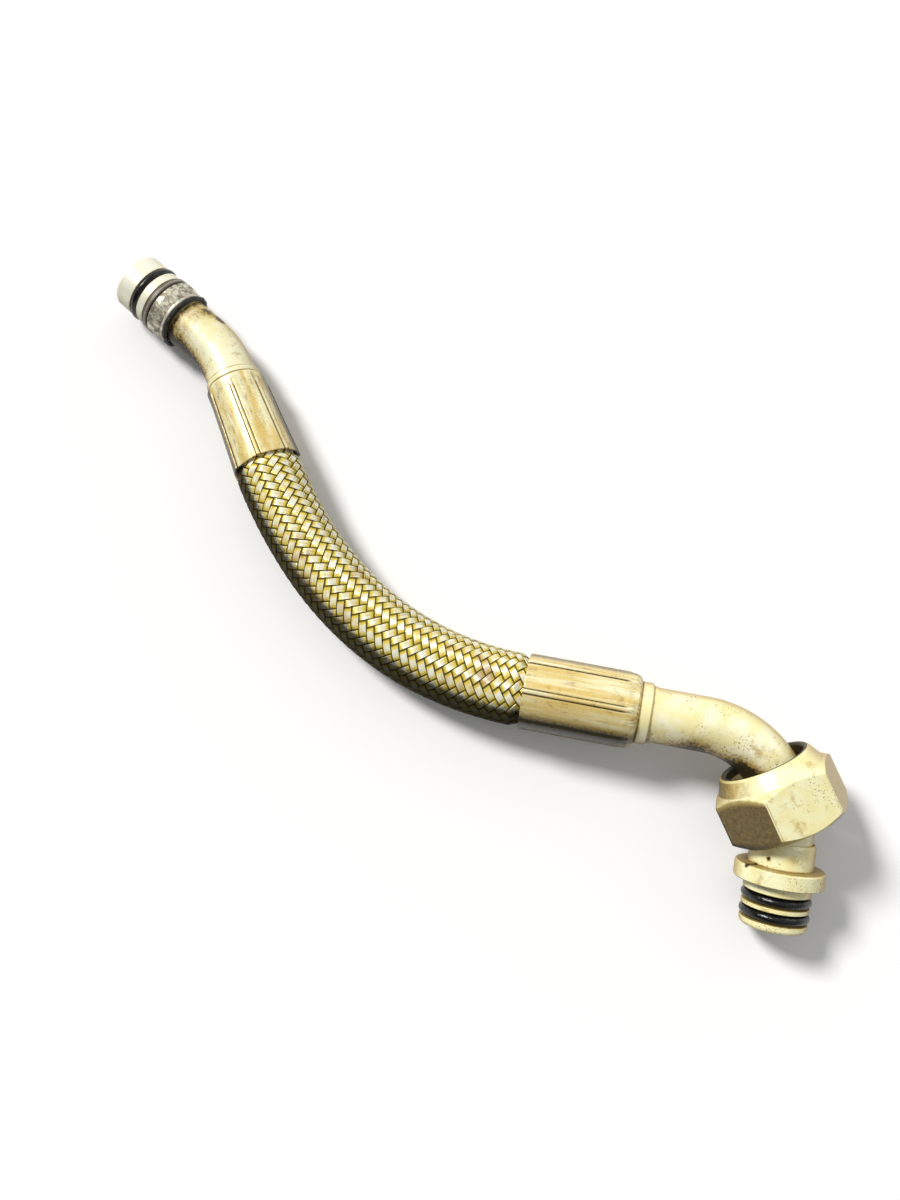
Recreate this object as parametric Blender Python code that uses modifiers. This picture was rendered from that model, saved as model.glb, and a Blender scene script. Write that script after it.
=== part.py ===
import math

import bmesh
import bpy
import numpy as np
from mathutils import Matrix, Vector, geometry

MM = 0.001

# Layout in millimetres from the centre of the upper spigot's end.
# Headings turn about +Z from +X, pitches lift toward +Z.
ROOT = (-133.0, -11.04, -0.07)
UPPER_FERRULE_LENGTH, LOWER_FERRULE_LENGTH = 27.3, 31.0
TIP_HEIGHT = 9.17
TIP_HEADING, TIP_PITCH = 4.5, 0.0
TIP_TO_BEND = 36.3
UPPER_HEADING, UPPER_PITCH = -21.5, 1.45
BEND_TO_UPPER_MOUTH = 10.9 + UPPER_FERRULE_LENGTH
LOWER_MOUTH = (170.2, -3.8, 12.5)
LOWER_HEADING, LOWER_PITCH = 34.7, 5.5
LOWER_MOUTH_TO_ELBOW = 42.3 + LOWER_FERRULE_LENGTH
OUTLET_HEADING, OUTLET_PITCH = -51.8, -12.0
ELBOW_TO_OUTLET = 49.4
HOSE_HANDLE_UPPER, HOSE_HANDLE_LOWER = 36.0, 40.0

# Pipes
PIPE_R, PIPE_BORE_R = 7.5, 6.0
UPPER_BEND_R, ELBOW_R = 32.0, 25.0
PIPE_FLARE = 0.35
FIT = 0.3

# Hose
HOSE_BORE_R = 5.6
BRAID_R_UPPER, BRAID_R_LOWER = 9.7, 10.1
BRAID_WALL, BRAID_RELIEF = 0.7, 0.4
BRAID_COLUMNS, BRAID_STEP = 24, 2.05
UPPER_HOSE_IN, LOWER_HOSE_IN = UPPER_FERRULE_LENGTH - 4.8, LOWER_FERRULE_LENGTH - 5.5

# Ferrules: (station from the mouth, radius); the last stations keep their place from the pipe end
FU, FL = UPPER_FERRULE_LENGTH, LOWER_FERRULE_LENGTH
UPPER_OUTER = [(0.0, 10.0), (3.0, 9.8), (FU / 2, 9.3), (FU - 3.3, 8.9), (FU - 0.7, 8.75), (FU, 8.35)]
UPPER_INNER = [(FU - 0.4, 7.0), (FU - 3.9, 7.0), (FU - 4.3, 7.8), (FU / 2, 8.2), (3.0, 8.5), (1.0, 8.9), (0.0, 9.25)]
LOWER_OUTER = [(0.0, 10.45), (2.0, 10.5), (FL / 2, 10.5), (FL - 3.5, 10.45), (FL - 1.8, 10.2), (FL - 0.6, 9.6), (FL, 8.7)]
LOWER_INNER = [(FL - 0.2, 7.0), (FL - 4.6, 7.0), (FL - 5.0, 8.9), (FL / 2, 8.9), (3.0, 8.9), (1.0, 9.4), (0.0, 9.75)]
PIPE_GAP = 1.1
DIES, DIE_STEPS = 7, 7
RIDGE_HEIGHT, FLAT_DROP = 0.28, 0.24
UPPER_RIDGE_PHASE, LOWER_RIDGE_PHASE = -4.0, 8.0

# Push-in spigot: stations count from its end
UPPER_LAND_R, UPPER_BORE_R = 8.6, 5.0
UPPER_SEAL_AT, UPPER_SEAL_OUTER_R, UPPER_SEAL_SECTION = 7.5, 9.0, 2.0
UPPER_RING_AT = 12.65
SLEEVE_END, DUST_SEAL_WIDTH = 19.75, 1.55
UPPER_PIPE_AT, UPPER_NECK_IN = 14.2, 3.4

# Flanged spigot: stations count from its end
LOWER_LAND_R, LOWER_BORE_R, NECK_R = 8.8, 5.2, 8.5
LOWER_SEALS_AT, LOWER_SEAL_OUTER_R, LOWER_SEAL_SECTION = (3.7, 8.0), 9.1, 2.5
FLANGE_AT, FLANGE_WIDTH, FLANGE_R = 12.1, 4.3, 11.7
LOWER_PIPE_AT = 19.4

# Union nut: stations count from its rear face
NUT_REAR = (227.75, 27.95, 18.05)
NUT_HEADING, NUT_PITCH = -18.8, -10.0
NUT_LENGTH, HEX_LENGTH = 18.6, 14.5
ACROSS_FLATS = 30.0
CORNER_R = ACROSS_FLATS * 0.6
REAR_CHAMFER, FRONT_CHAMFER = 2.5, 2.65
THREAD_MINOR_R, THREAD_LENGTH = 12.3, 10.2
REAR_HOLE_R, REAR_WALL = 10.8, 2.6

FINISHES = {
    "plating": ((0.72, 0.66, 0.45), 0.75, 0.38),
    "ferrule_steel": ((0.62, 0.50, 0.27), 0.85, 0.36),
    "braid_steel": ((0.60, 0.56, 0.42), 0.9, 0.34),
    "worn_steel": ((0.42, 0.41, 0.38), 0.8, 0.5),
    "seal_rubber": ((0.012, 0.012, 0.012), 0.0, 0.3),
    "ring_polymer": ((0.16, 0.13, 0.10), 0.0, 0.5),
    "liner_rubber": ((0.02, 0.02, 0.02), 0.0, 0.7),
}


def new_collection(name):
    group = bpy.data.collections.new(name)
    bpy.context.scene.collection.children.link(group)
    return group


def finish(name):
    if name in bpy.data.materials:
        return bpy.data.materials[name]
    colour, metallic, roughness = FINISHES[name]
    material = bpy.data.materials.new(name)
    material.use_nodes = True
    shader = material.node_tree.nodes["Principled BSDF"]
    shader.inputs["Base Color"].default_value = (*colour, 1.0)
    shader.inputs["Metallic"].default_value = metallic
    shader.inputs["Roughness"].default_value = roughness
    return material


def heading(turn, pitch):
    a, b = math.radians(turn), math.radians(pitch)
    return Vector((math.cos(a) * math.cos(b), math.sin(a) * math.cos(b), math.sin(b)))


def aim(point, along):
    """Placement with Z along an axis and X as near to straight up as it can be."""
    along = along.normalized()
    up = (Vector((0, 0, 1)) - along * along.z).normalized()
    turn = Matrix((up, along.cross(up), along)).transposed().to_4x4()
    return Matrix.Translation(Vector(point) * MM) @ turn


def add_node(name, data, parent, look, group=None):
    node = bpy.data.objects.new(name, data)
    (group or parts).objects.link(node)
    node.parent = parent
    data.materials.append(finish(look))
    return node


def add_frame(name, point, along, parent):
    empty = bpy.data.objects.new(name, None)
    parts.objects.link(empty)
    empty.parent = parent
    empty.matrix_basis = aim(point, along)
    return empty


def turned(name, profile, parent, look, steps=28, group=None):
    """Turned body from a closed (station, radius) profile, listed outer side first."""
    sketch = bmesh.new()
    verts = [sketch.verts.new((r * MM, 0.0, s * MM)) for s, r in reversed(profile)]
    for a, b in zip(verts, verts[1:] + verts[:1]):
        sketch.edges.new((a, b))
    data = bpy.data.meshes.new(name)
    sketch.to_mesh(data)
    sketch.free()
    node = add_node(name, data, parent, look, group)
    screw = node.modifiers.new("Turn", "SCREW")
    screw.axis = "Z"
    screw.steps = screw.render_steps = steps
    screw.use_merge_vertices = True
    screw.merge_threshold = 0.00001
    return node


def as_mesh(node, weld=True):
    """Evaluated copy of a node in its place, as a plain mesh."""
    bpy.context.view_layer.update()
    graph = bpy.context.evaluated_depsgraph_get()
    data = bpy.data.meshes.new_from_object(node.evaluated_get(graph))
    if weld:
        work = bmesh.new()
        work.from_mesh(data)
        bmesh.ops.remove_doubles(work, verts=work.verts, dist=0.000001)
        bmesh.ops.recalc_face_normals(work, faces=work.faces)
        work.to_mesh(data)
        work.free()
    name, parent, basis, groups = node.name, node.parent, node.matrix_basis.copy(), list(node.users_collection)
    bpy.data.objects.remove(node, do_unlink=True)
    copy = bpy.data.objects.new(name, data)
    groups[0].objects.link(copy)
    copy.parent = parent
    copy.matrix_basis = basis
    return copy


def tube(name, centres, radii, sides, parent, look, group=None):
    """Solid bar along a route, as a curve made into a mesh."""
    curve = bpy.data.curves.new(name, "CURVE")
    curve.dimensions = "3D"
    curve.twist_mode = "Z_UP"
    curve.bevel_depth = MM
    curve.bevel_resolution = (sides - 4) // 2
    curve.use_fill_caps = True
    spline = curve.splines.new("POLY")
    spline.points.add(len(centres) - 1)
    for point, centre, radius in zip(spline.points, centres, radii):
        point.co = (*(Vector(centre) * MM), 1.0)
        point.radius = radius
    return as_mesh(add_node(name, curve, parent, look, group))


def cut(node, cutter, operation="DIFFERENCE"):
    cutter.hide_render = True
    cutter.display_type = "WIRE"
    boolean = node.modifiers.new("Cut", "BOOLEAN")
    boolean.operation = operation
    boolean.object = cutter
    return boolean


def torus(name, centre, outer_r, section, parent, look):
    """Round-section seal ring."""
    bpy.ops.mesh.primitive_torus_add(
        major_radius=(outer_r - section / 2) * MM, minor_radius=section / 2 * MM, major_segments=26, minor_segments=8)
    node = bpy.context.object
    for group in list(node.users_collection):
        group.objects.unlink(node)
    parts.objects.link(node)
    node.name = node.data.name = name
    node.parent = parent
    node.location = (0.0, 0.0, centre * MM)
    node.data.materials.append(finish(look))
    node.data.shade_smooth()
    return node


def arc_route(start, along, leg, out, radius, leg_out, steps):
    """Points of two straight legs and the arc between them."""
    turn = along.angle(out)
    trim = radius * math.tan(turn / 2)
    axis = along.cross(out).normalized()
    begin = start + along * (leg - trim)
    centre = begin + axis.cross(along) * radius
    points = [start]
    for k in range(steps + 1):
        points.append(centre + Matrix.Rotation(turn * k / steps, 3, axis) @ (begin - centre))
    points.append(points[-1] + out * (leg_out - trim))
    return points


def hollow_pipe(name, route, radii, parent):
    """Pipe with open ends, bored by a longer bar on the same route."""
    node = tube(name, route, radii, 26, parent, "plating")
    first = route[0] + (route[0] - route[1]).normalized() * 2.0
    last = route[-1] + (route[-1] - route[-2]).normalized() * 2.0
    bore = tube(name + "_bore", [first] + route[1:-1] + [last], [PIPE_BORE_R] * len(route), 22, parent, "plating", cutters)
    cut(node, bore)
    return node


# Hose route
tip_axis = heading(TIP_HEADING, TIP_PITCH)
upper_axis = heading(UPPER_HEADING, UPPER_PITCH)
lower_axis = heading(LOWER_HEADING, LOWER_PITCH)
outlet_axis = heading(OUTLET_HEADING, OUTLET_PITCH)
tip_point = Vector((0.0, 0.0, TIP_HEIGHT))
upper_vertex = tip_point + tip_axis * TIP_TO_BEND
upper_mouth = upper_vertex + upper_axis * BEND_TO_UPPER_MOUTH
lower_mouth = Vector(LOWER_MOUTH)
elbow_vertex = lower_mouth + lower_axis * LOWER_MOUTH_TO_ELBOW
outlet_point = elbow_vertex + outlet_axis * ELBOW_TO_OUTLET

knots = geometry.interpolate_bezier(
    upper_mouth, upper_mouth + upper_axis * HOSE_HANDLE_UPPER,
    lower_mouth - lower_axis * HOSE_HANDLE_LOWER, lower_mouth, 240)
route = np.array([tuple(knot) for knot in knots])
travel = np.concatenate(([0.0], np.cumsum(np.linalg.norm(np.diff(route, axis=0), axis=1))))
FREE = float(travel[-1])


def hose_point(s):
    """Centre of the hose at a distance from the upper ferrule's mouth."""
    if s < 0:
        return upper_mouth + upper_axis * s
    if s > FREE:
        return lower_mouth + lower_axis * (s - FREE)
    return Vector([float(np.interp(s, travel, route[:, k])) for k in range(3)])


def bore_at(profile, depth):
    points = sorted(profile)
    return float(np.interp(depth, [p[0] for p in points], [p[1] for p in points]))


def braid_radius(s):
    """Radius over the braid: full between the ferrules, squeezed inside them."""
    upper = bore_at(UPPER_INNER[2:], -s) - FIT
    lower = bore_at(LOWER_INNER[2:], s - FREE) - FIT
    if s <= 0:
        return upper
    if s >= FREE:
        return lower
    free = BRAID_R_UPPER + (BRAID_R_LOWER - BRAID_R_UPPER) * min(max((s - 25.0) / 45.0, 0.0), 1.0)
    near, lip = (s, upper) if s < FREE / 2 else (FREE - s, lower)
    ease = min(near / 2.6, 1.0)
    ease = ease * ease * (3 - 2 * ease)
    return lip + (free - lip) * ease


def rows(start, end, step):
    count = max(1, round((end - start) / step))
    return [start + (end - start) * i / count for i in range(count + 1)]


INSIDE_UPPER = [-UPPER_HOSE_IN, -FU / 2, -3.0, -1.0]
INSIDE_LOWER = [FREE + 1.0, FREE + 3.0, FREE + FL / 2, FREE + LOWER_HOSE_IN]


def build_braid(parent):
    woven = rows(0.0, FREE, BRAID_STEP)
    stations = INSIDE_UPPER + woven + INSIDE_LOWER
    node = tube("braid_sleeve", [hose_point(s) for s in stations], [braid_radius(s) for s in stations], BRAID_COLUMNS,
                parent, "braid_steel")
    weave = woven[1:-1]
    centres = [hose_point(s) for s in weave]
    for vert in node.data.vertices:
        place = vert.co / MM
        row = min(range(len(weave)), key=lambda k: (place - centres[k]).length_squared)
        along = (centres[min(row + 1, len(weave) - 1)] - centres[max(row - 1, 0)]).normalized()
        arm = place - centres[row]
        if abs(arm.dot(along)) > BRAID_STEP / 3:
            continue
        up = (Vector((0, 0, 1)) - along * along.z).normalized()
        angle = math.atan2(arm.dot(along.cross(up)), arm.dot(up))
        column = round(angle / (2 * math.pi) * BRAID_COLUMNS)
        if (column + row) % 2:
            vert.co -= arm.normalized() * BRAID_RELIEF * MM
    inner = INSIDE_UPPER + [0.0] + rows(3.0, FREE - 3.0, 6.5) + [FREE] + INSIDE_LOWER
    radii = [braid_radius(s) - BRAID_WALL for s in inner]
    inner[0] -= 2.0
    inner[-1] += 2.0
    bore = tube("braid_bore", [hose_point(s) for s in inner], radii, 20, parent, "braid_steel", cutters)
    cut(node, bore)


def build_liner(parent):
    stations = INSIDE_UPPER + [0.0] + rows(3.0, FREE - 3.0, 6.5) + [FREE] + INSIDE_LOWER
    node = tube("hose_liner", [hose_point(s) for s in stations],
                [braid_radius(s) - BRAID_WALL - FIT for s in stations], 18, parent, "liner_rubber")
    inner = [-UPPER_HOSE_IN - 2.0, -3.0] + rows(0.0, FREE, 7.5) + [FREE + 3.0, FREE + LOWER_HOSE_IN + 2.0]
    bore = tube("liner_bore", [hose_point(s) for s in inner], [HOSE_BORE_R] * len(inner), 14, parent, "liner_rubber", cutters)
    cut(node, bore)


def ferrule(name, outer, inner, phase, length, parent):
    """Turned shell whose outside is then squeezed between dies, which leave ridges."""
    node = as_mesh(turned(name, outer + inner, parent, "ferrule_steel", DIES * DIE_STEPS))
    pitch = 360.0 / DIES
    spin = Matrix.Rotation(math.radians(phase), 4, "Z")
    for vert in node.data.vertices:
        s, r = vert.co.z / MM, math.hypot(vert.co.x, vert.co.y) / MM
        if r > np.interp(s, [p[0] for p in outer], [p[1] for p in outer]) - 0.2:
            off = (math.degrees(math.atan2(vert.co.y, vert.co.x)) + pitch / 2) % pitch - pitch / 2
            grip = min(max((length - 1.5 - s) / 3.0, 0.0), 1.0)
            squeeze = -FLAT_DROP * (1 - (1 - abs(off) / (pitch / 2)) ** 2)
            ridge = RIDGE_HEIGHT if abs(off) < 2.0 else 0.0
            scale = (r + (squeeze + ridge) * grip) / r
            vert.co.x *= scale
            vert.co.y *= scale
        vert.co = spin @ vert.co
    return node


def hose_tail(name, end, hose_in, collar_r, collar_length, parent):
    """Barbed tail with the stop collar that takes the pipe."""
    start, stop, count = 3.0, hose_in - 4.0, 3
    pitch = (stop - start) / count
    barbs = []
    for k in range(count):
        barbs += [(start + pitch * k, 5.0), (start + pitch * (k + 0.86), 5.32), (start + pitch * (k + 0.9), 5.0)]
    outer = [(1.0, 4.6), (1.8, 5.0)] + barbs + [
        (hose_in - 0.2, 5.0), (hose_in + 0.3, 5.3), (hose_in + 0.3, 6.7), (end + 0.3, 6.7), (end + 0.3, collar_r - 0.3),
        (end + 0.6, collar_r), (end + collar_length - 0.3, collar_r), (end + collar_length, collar_r - 0.25)]
    inner = [(end + collar_length, PIPE_R + FIT), (end + 0.8, PIPE_R + FIT), (end + 0.8, 4.9), (end - 1.0, 4.2), (1.0, 4.2)]
    turned(name, outer + inner, parent, "plating", 22)


def build_upper_end(root):
    tip = add_frame("tip_frame", tip_point, tip_axis, root)
    land, bore, groove = UPPER_LAND_R, UPPER_BORE_R, UPPER_SEAL_OUTER_R - UPPER_SEAL_SECTION - FIT
    seal, seat, end = UPPER_SEAL_AT, UPPER_RING_AT, UPPER_PIPE_AT - FIT
    side, back = UPPER_SEAL_SECTION / 2 + 0.2, UPPER_PIPE_AT + UPPER_NECK_IN
    turned("upper_spigot", [
        (0.0, land - 1.1), (0.35, land - 0.4), (1.0, land), (seal - side - 0.1, land), (seal - side, groove),
        (seal + side, groove), (seal + side + 0.1, land), (seat - 1.3, land), (seat - 1.2, PIPE_R - 0.2), (end, PIPE_R - 0.2),
        (end, PIPE_BORE_R - FIT), (back - 0.4, PIPE_BORE_R - FIT), (back, PIPE_BORE_R - 0.6), (back, bore), (0.9, bore),
        (0.0, bore + 0.8)], tip, "plating")
    torus("upper_o_ring", seal, UPPER_SEAL_OUTER_R, UPPER_SEAL_SECTION, tip, "seal_rubber")
    ring = turned("upper_retaining_ring", [
        (seat - 0.85, 8.8), (seat - 0.65, 9.0), (seat + 0.65, 9.0), (seat + 0.85, 8.8), (seat + 0.85, PIPE_R + 0.1),
        (seat - 0.85, PIPE_R + 0.1)], tip, "ring_polymer")
    gap = bmesh.new()
    bmesh.ops.create_cube(gap, size=1.0, matrix=Matrix.Translation((-8.3 * MM, 0.0, seat * MM)) @ Matrix.Diagonal((3.0 * MM, 2.4 * MM, 3.0 * MM, 1.0)))
    data = bpy.data.meshes.new("ring_gap")
    gap.to_mesh(data)
    gap.free()
    cut(ring, add_node("ring_gap", data, tip, "ring_polymer", cutters))
    inner, first, last = PIPE_R + FIT, seat + 0.85 + FIT, SLEEVE_END
    turned("upper_locking_sleeve", [
        (first, 8.8), (first + 0.3, 9.1), (first + 1.9, 9.1), (last - 1.05, 8.45), (last - 1.0, 8.7), (last - 0.2, 8.7),
        (last, 8.5), (last, inner), (first + 0.7, inner), (first, inner + 0.2)], tip, "worn_steel")
    seal = last + FIT
    turned("upper_dust_seal", [
        (seal, 8.2), (seal + 0.15, 8.75), (seal + 0.45, 8.95), (seal + DUST_SEAL_WIDTH - 0.4, 8.95),
        (seal + DUST_SEAL_WIDTH - 0.1, 8.6), (seal + DUST_SEAL_WIDTH, inner), (seal, inner)], tip, "seal_rubber")
    begin = UPPER_PIPE_AT
    route = arc_route(tip_point + tip_axis * begin, tip_axis, TIP_TO_BEND - begin, upper_axis, UPPER_BEND_R,
                      BEND_TO_UPPER_MOUTH - UPPER_FERRULE_LENGTH - PIPE_GAP, 5)
    hollow_pipe("upper_pipe", route, [PIPE_R] * len(route), root)
    crimp = add_frame("upper_crimp_frame", upper_mouth, -upper_axis, root)
    hose_tail("upper_hose_tail", UPPER_FERRULE_LENGTH, UPPER_HOSE_IN, PIPE_R + 0.65, 2.0, crimp)
    ferrule("upper_ferrule", UPPER_OUTER, UPPER_INNER, UPPER_RIDGE_PHASE, UPPER_FERRULE_LENGTH, crimp)


def build_lower_end(root):
    outlet = add_frame("outlet_frame", outlet_point, -outlet_axis, root)
    land, bore, groove = LOWER_LAND_R, LOWER_BORE_R, LOWER_SEAL_OUTER_R - LOWER_SEAL_SECTION - FIT
    side, face, back, neck = LOWER_SEAL_SECTION / 2 + 0.25, FLANGE_AT, FLANGE_AT + FLANGE_WIDTH, LOWER_PIPE_AT
    outer, inner = LOWER_SEALS_AT
    turned("lower_spigot", [
        (0.0, land - 0.9), (0.4, land - 0.3), (0.9, land), (outer - side - 0.1, land), (outer - side, groove),
        (outer + side, groove), (outer + side + 0.1, land), (inner - side - 0.1, land), (inner - side, groove),
        (inner + side, groove), (inner + side + 0.1, land), (face, land), (face, FLANGE_R - 0.3), (face + 0.3, FLANGE_R),
        (back - 0.4, FLANGE_R), (back, FLANGE_R - 0.4), (back, NECK_R), (neck + 3.0, NECK_R), (neck + 3.8, NECK_R - 0.4),
        (neck + 3.8, PIPE_R + FIT), (neck - 0.4, PIPE_R + FIT), (neck - 0.4, bore), (0.8, bore), (0.0, bore + 0.7)],
        outlet, "plating")
    torus("lower_o_ring_outer", outer, LOWER_SEAL_OUTER_R, LOWER_SEAL_SECTION, outlet, "seal_rubber")
    torus("lower_o_ring_inner", inner, LOWER_SEAL_OUTER_R, LOWER_SEAL_SECTION, outlet, "seal_rubber")
    begin = LOWER_FERRULE_LENGTH + PIPE_GAP
    route = arc_route(lower_mouth + lower_axis * begin, lower_axis, LOWER_MOUTH_TO_ELBOW - begin, outlet_axis, ELBOW_R,
                      ELBOW_TO_OUTLET - LOWER_PIPE_AT, 9)
    route[1:1] = [route[0] + lower_axis * 2.4, route[0] + lower_axis * 3.0]
    hollow_pipe("lower_pipe", route, [PIPE_R, PIPE_R, PIPE_R + PIPE_FLARE] + [PIPE_R] * (len(route) - 3), root)
    crimp = add_frame("lower_crimp_frame", lower_mouth, lower_axis, root)
    hose_tail("lower_hose_tail", LOWER_FERRULE_LENGTH, LOWER_HOSE_IN, PIPE_R + 0.95, 3.2, crimp)
    ferrule("lower_ferrule", LOWER_OUTER, LOWER_INNER, LOWER_RIDGE_PHASE, LOWER_FERRULE_LENGTH, crimp)


def build_nut(root):
    """Loose nut: tapered rear collar, chamfered hexagon, open mouth; one flat faces the ground."""
    frame = add_frame("nut_frame", NUT_REAR, heading(NUT_HEADING, NUT_PITCH), root)
    back, flat_r, relief = NUT_LENGTH - HEX_LENGTH, ACROSS_FLATS / 2, THREAD_MINOR_R + 0.5
    nut = turned("union_nut", [
        (0.0, flat_r - 2.9), (0.5, flat_r - 2.4), (back, flat_r - 0.5), (back + REAR_CHAMFER, CORNER_R),
        (NUT_LENGTH - FRONT_CHAMFER, CORNER_R), (NUT_LENGTH, flat_r - 0.6), (NUT_LENGTH, THREAD_MINOR_R + 1.0),
        (NUT_LENGTH - 1.0, THREAD_MINOR_R), (NUT_LENGTH - THREAD_LENGTH, THREAD_MINOR_R),
        (NUT_LENGTH - THREAD_LENGTH - 0.5, relief), (REAR_WALL + 0.8, relief), (REAR_WALL, relief - 0.8),
        (REAR_WALL, REAR_HOLE_R), (0.5, REAR_HOLE_R), (0.0, REAR_HOLE_R + 0.4)], frame, "plating", 36)
    prism = bmesh.new()
    corner = ACROSS_FLATS / 2 / math.cos(math.radians(30)) * MM
    place = Matrix.Translation((0.0, 0.0, NUT_LENGTH / 2 * MM)) @ Matrix.Rotation(math.radians(30), 4, "Z")
    bmesh.ops.create_cone(prism, cap_ends=True, segments=6, radius1=corner, radius2=corner, depth=(NUT_LENGTH + 4) * MM, matrix=place)
    flat = min(abs(math.degrees(math.atan2(f.normal.y, f.normal.x)) % 60.0) for f in prism.faces if abs(f.normal.z) < 0.5)
    data = bpy.data.meshes.new("hexagon")
    prism.to_mesh(data)
    prism.free()
    hexagon = add_node("hexagon", data, frame, "plating", cutters)
    if 5.0 < flat < 55.0:
        hexagon.rotation_euler.z = math.radians(30)
    cut(nut, hexagon, "INTERSECT")


for item in list(bpy.data.objects):
    bpy.data.objects.remove(item, do_unlink=True)
parts = new_collection("oil_cooler_hose")
cutters = new_collection("cutters")
origin = bpy.data.objects.new("hose_origin", None)
parts.objects.link(origin)
origin.location = Vector(ROOT) * MM
build_upper_end(origin)
build_liner(origin)
build_braid(origin)
build_lower_end(origin)
build_nut(origin)
for node in parts.objects:
    if node.type == "MESH" and node.data.polygons:
        node.data.shade_smooth()
        node.data.set_sharp_from_angle(angle=math.radians(35))
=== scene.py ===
import math

import bmesh
import bpy
import numpy as np
from mathutils import Matrix, Vector, geometry, noise


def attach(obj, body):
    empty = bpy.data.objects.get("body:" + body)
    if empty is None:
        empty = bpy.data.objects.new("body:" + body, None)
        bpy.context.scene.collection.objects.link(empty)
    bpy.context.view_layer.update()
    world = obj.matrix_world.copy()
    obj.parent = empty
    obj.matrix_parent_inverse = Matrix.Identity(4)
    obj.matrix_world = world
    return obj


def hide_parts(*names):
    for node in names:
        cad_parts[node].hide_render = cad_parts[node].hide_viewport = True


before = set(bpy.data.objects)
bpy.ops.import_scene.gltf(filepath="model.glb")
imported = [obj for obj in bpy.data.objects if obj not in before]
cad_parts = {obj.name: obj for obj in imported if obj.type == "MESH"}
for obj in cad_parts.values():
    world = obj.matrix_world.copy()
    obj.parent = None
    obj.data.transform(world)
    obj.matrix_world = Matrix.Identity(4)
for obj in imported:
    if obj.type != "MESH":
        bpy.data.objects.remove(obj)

mm = 0.001
assembly, nutBody = "hose_assembly", "nut"
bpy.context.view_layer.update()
print("frame loaded:", len(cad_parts), "solids")

# Layout in millimetres from the middle of the push-in end, as the solids have it
layout = {
    "origin": (-133.0, -11.04, -0.07),
    "tipHeight": 9.17, "tipHeading": (4.5, 0.0), "tipToBend": 36.3,
    "upperHeading": (-21.5, 1.45), "bendToUpperMouth": 38.2,
    "lowerMouth": (170.2, -3.8, 12.5), "lowerHeading": (34.7, 5.5), "lowerMouthToElbow": 73.3,
    "outletHeading": (-51.8, -12.0), "elbowToOutlet": 49.4,
    "hoseHandles": (36.0, 40.0),
    "nutRear": (227.75, 27.95, 18.05), "nutHeading": (-18.8, -10.0),
}

shot = {"place": (0.0486, -0.05434, 0.2999), "tilt": 12.0, "turn": 46.08, "lens": 31.5}

lighting = {
    "key": {"from": (-1.0, -0.12, 1.0), "strength": 3.05, "softness": 14.0, "colour": (1.0, 0.99, 0.97)},
    "side": {"from": (0.10, 1.0, 0.62), "strength": 0.35, "softness": 30.0, "colour": (1.0, 0.99, 0.97)},
    "skyFrom": (-0.05, 0.8, 0.6), "skyBright": 0.47, "skyDim": 0.06, "floor": 0.93, "floorBounce": 0.16,
}


def heading(pair):
    a, b = (math.radians(v) for v in pair)
    return Vector((math.cos(a) * math.cos(b), math.sin(a) * math.cos(b), math.sin(b)))


def upright(along):  # square to a direction and as near to straight up as that goes
    return (Vector((0, 0, 1)) - along * along.z).normalized()


def standOn(point, along):  # Z along the axis, X upright
    along = along.normalized()
    up = upright(along)
    turn = Matrix((up, along.cross(up), along)).transposed().to_4x4()
    return Matrix.Translation(point) @ turn


# Route of the whole assembly, in metres in the row frame
origin = Vector(layout["origin"]) * mm
tipAxis, upperAxis = heading(layout["tipHeading"]), heading(layout["upperHeading"])
lowerAxis, outletAxis = heading(layout["lowerHeading"]), heading(layout["outletHeading"])
tipPoint = origin + Vector((0, 0, layout["tipHeight"])) * mm
upperVertex = tipPoint + tipAxis * layout["tipToBend"] * mm
upperMouth = upperVertex + upperAxis * layout["bendToUpperMouth"] * mm
lowerMouth = origin + Vector(layout["lowerMouth"]) * mm
elbowVertex = lowerMouth + lowerAxis * layout["lowerMouthToElbow"] * mm
outletPoint = elbowVertex + outletAxis * layout["elbowToOutlet"] * mm
nutRear, nutAxis = origin + Vector(layout["nutRear"]) * mm, heading(layout["nutHeading"])

knots = geometry.interpolate_bezier(
    upperMouth, upperMouth + upperAxis * layout["hoseHandles"][0] * mm,
    lowerMouth - lowerAxis * layout["hoseHandles"][1] * mm, lowerMouth, 400)
routeKnots = np.array([tuple(k) for k in knots])
travel = np.concatenate(([0.0], np.cumsum(np.linalg.norm(np.diff(routeKnots, axis=0), axis=1)))) / mm
freeLength = float(travel[-1])
print("free hose length %.1f mm" % freeLength)


def hosePoint(s):
    if s < 0:
        return upperMouth + upperAxis * s * mm
    if s > freeLength:
        return lowerMouth + lowerAxis * (s - freeLength) * mm
    return Vector([float(np.interp(s, travel, routeKnots[:, k])) for k in range(3)])


def addObject(name, data):
    made = bpy.data.objects.new(name, data)
    bpy.context.scene.collection.objects.link(made)
    return made


# Camera first, because the hose has to lie in its view
def addCamera(settings):
    data = bpy.data.cameras.new("photoCamera")
    data.sensor_fit = "VERTICAL"
    data.sensor_height = 36.0
    data.lens = settings["lens"]
    data.clip_start = 0.01
    camera = addObject("photoCamera", data)
    camera.location = settings["place"]
    camera.rotation_euler = (math.radians(settings["tilt"]), 0.0, math.radians(settings["turn"]))
    bpy.context.scene.camera = camera


addCamera(shot)
bpy.context.scene.view_settings.view_transform = "Standard"
print("camera set")


# Short forms for what the node trees use most
def addNode(tree, kind, inputs=None, **settings):
    made = tree.nodes.new(kind)
    for key, value in settings.items():
        setattr(made, key, value)
    for key, value in (inputs or {}).items():
        if isinstance(value, bpy.types.NodeSocket):
            tree.links.new(value, made.inputs[key])
        else:
            made.inputs[key].default_value = value
    return made


def calc(tree, operation, a, b=0.0, c=None, clamp=False):
    values = {0: a, 1: b} if c is None else {0: a, 1: b, 2: c}
    return addNode(tree, "ShaderNodeMath", values, operation=operation, use_clamp=clamp).outputs[0]


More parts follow.
